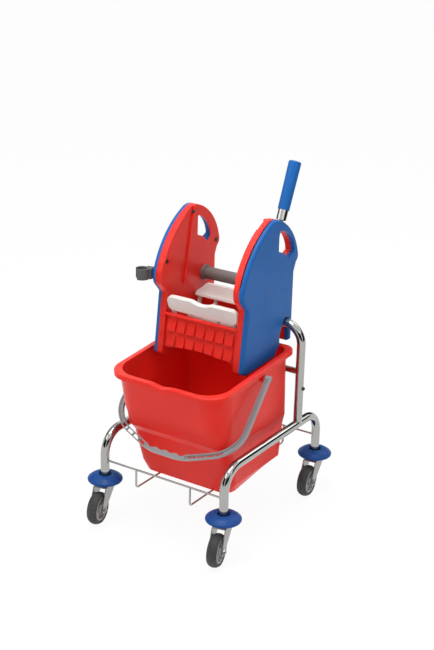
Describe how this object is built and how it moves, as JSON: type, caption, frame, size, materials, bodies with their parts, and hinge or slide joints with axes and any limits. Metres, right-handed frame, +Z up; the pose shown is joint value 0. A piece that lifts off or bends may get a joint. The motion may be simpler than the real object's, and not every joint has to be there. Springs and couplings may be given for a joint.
{
  "type": "mop bucket trolley",
  "caption": "Mop bucket trolley: a stepped bucket with a bail on a bent tube frame with swivel casters, and a lever wringer with geared jaws on the rear bow",
  "frame": {"origin": "on the floor under the middle of the object's box", "axes": "+X to the right as seen from the front, +Y from the spout to the wringer bow, +Z up"},
  "size_m": [0.431, 0.5516, 0.8731],
  "materials": {
    "chrome": "polished chrome plate",
    "zinc": "bright zinc plate",
    "black_steel": "blackened",
    "red_plastic": "satin moulded",
    "blue_plastic": "satin moulded",
    "grey_plastic": "satin moulded",
    "dark_plastic": "satin moulded",
    "pale_plastic": "satin moulded",
    "blue_rubber": "soft moulded",
    "hub_plastic": "satin moulded",
    "tyre_rubber": "plain tread"
  },
  "bodies": {
    "trolley_frame": {"side_frame_left": "chrome", "side_frame_right": "chrome", "wringer_bow": "chrome", "bow_cross_bar": "chrome", "bow_screws": "chrome", "front_cross_wire": "chrome", "rear_cross_wire": "chrome", "cradle_wire_left": "chrome", "cradle_wire_right": "chrome", "caster_stem_front_left": "zinc", "bumper_front_left": "blue_rubber", "caster_stem_front_right": "zinc", "bumper_front_right": "blue_rubber", "caster_stem_rear_right": "zinc", "bumper_rear_right": "blue_rubber", "caster_stem_rear_left": "zinc", "bumper_rear_left": "blue_rubber"},
    "bucket": {"bucket": "red_plastic"},
    "bail": {"bail_handle": "grey_plastic"},
    "wringer": {"inner_shell_left": "red_plastic", "inner_shell_right": "red_plastic", "outer_cover_left": "blue_plastic", "outer_cover_right": "blue_plastic", "front_grate": "red_plastic", "rear_grate": "red_plastic", "stay_bar": "dark_plastic", "cover_screws": "black_steel", "mop_clip": "dark_plastic", "lever_pin": "zinc"},
    "lever": {"lever_gear": "dark_plastic", "lever_arm": "zinc", "lever_tube": "chrome", "lever_grip": "blue_plastic"},
    "front_jaw": {"front_jaw": "pale_plastic", "front_jaw_shaft": "zinc", "front_jaw_gear": "dark_plastic"},
    "rear_jaw": {"rear_jaw": "pale_plastic", "rear_jaw_shaft": "zinc", "rear_jaw_gear": "dark_plastic"},
    "caster_front_left": {"caster_fork_front_left": "zinc", "caster_axle_front_left": "zinc"},
    "wheel_front_left": {"wheel_rim_front_left": "hub_plastic", "wheel_tyre_front_left": "tyre_rubber"},
    "caster_front_right": {"caster_fork_front_right": "zinc", "caster_axle_front_right": "zinc"},
    "wheel_front_right": {"wheel_rim_front_right": "hub_plastic", "wheel_tyre_front_right": "tyre_rubber"},
    "caster_rear_right": {"caster_fork_rear_right": "zinc", "caster_axle_rear_right": "zinc"},
    "wheel_rear_right": {"wheel_rim_rear_right": "hub_plastic", "wheel_tyre_rear_right": "tyre_rubber"},
    "caster_rear_left": {"caster_fork_rear_left": "zinc", "caster_axle_rear_left": "zinc"},
    "wheel_rear_left": {"wheel_rim_rear_left": "hub_plastic", "wheel_tyre_rear_left": "tyre_rubber"}
  },
  "joints": [
    {"name": "bucket_lift", "type": "slide", "parent": "trolley_frame", "child": "bucket", "axis": [0, 0, 1], "range_m": [0, 0.02]},
    {"name": "bail_swing", "type": "hinge", "parent": "bucket", "child": "bail", "pos_m": [0, -0.0072, 0.386], "axis": [-1, 0, 0], "range_deg": [0, 95]},
    {"name": "wringer_lift", "type": "slide", "parent": "trolley_frame", "child": "wringer", "axis": [0, 0, 1], "range_m": [0, 0.15]},
    {"name": "lever_pull", "type": "hinge", "parent": "wringer", "child": "lever", "pos_m": [0.1115, 0.01588, 0.52419], "axis": [1, 0, 0], "range_deg": [0, 59.54]},
    {"name": "front_jaw_close", "type": "hinge", "parent": "wringer", "child": "front_jaw", "pos_m": [0, -0.0212, 0.466], "axis": [1, 0, 0], "range_deg": [-36, 0]},
    {"name": "rear_jaw_close", "type": "hinge", "parent": "wringer", "child": "rear_jaw", "pos_m": [0, 0.0648, 0.466], "axis": [1, 0, 0], "range_deg": [0, 36]},
    {"name": "swivel_front_left", "type": "hinge", "parent": "trolley_frame", "child": "caster_front_left", "pos_m": [-0.1725, -0.1952, 0.094], "axis": [0, 0, 1], "continuous": true},
    {"name": "roll_front_left", "type": "hinge", "parent": "caster_front_left", "child": "wheel_front_left", "pos_m": [-0.16377, -0.23628, 0.04], "axis": [0.9781, 0.2079, 0], "continuous": true},
    {"name": "swivel_front_right", "type": "hinge", "parent": "trolley_frame", "child": "caster_front_right", "pos_m": [0.1725, -0.1952, 0.094], "axis": [0, 0, 1], "continuous": true},
    {"name": "roll_front_right", "type": "hinge", "parent": "caster_front_right", "child": "wheel_front_right", "pos_m": [0.18195, -0.23612, 0.04], "axis": [0.9744, 0.225, 0], "continuous": true},
    {"name": "swivel_rear_right", "type": "hinge", "parent": "trolley_frame", "child": "caster_rear_right", "pos_m": [0.1725, 0.2328, 0.094], "axis": [0, 0, 1], "continuous": true},
    {"name": "roll_rear_right", "type": "hinge", "parent": "caster_rear_right", "child": "wheel_rear_right", "pos_m": [0.17689, 0.19103, 0.04], "axis": [0.9945, 0.1045, 0], "continuous": true},
    {"name": "swivel_rear_left", "type": "hinge", "parent": "trolley_frame", "child": "caster_rear_left", "pos_m": [-0.1725, 0.2328, 0.094], "axis": [0, 0, 1], "continuous": true},
    {"name": "roll_rear_left", "type": "hinge", "parent": "caster_rear_left", "child": "wheel_rear_left", "pos_m": [-0.16593, 0.19132, 0.04], "axis": [0.9877, 0.1564, 0], "continuous": true}
  ],
  "couplings": [
    {"joint": "front_jaw_close", "follows": "lever_pull", "ratio": -0.60465},
    {"joint": "rear_jaw_close", "follows": "lever_pull", "ratio": 0.60465}
  ]
}
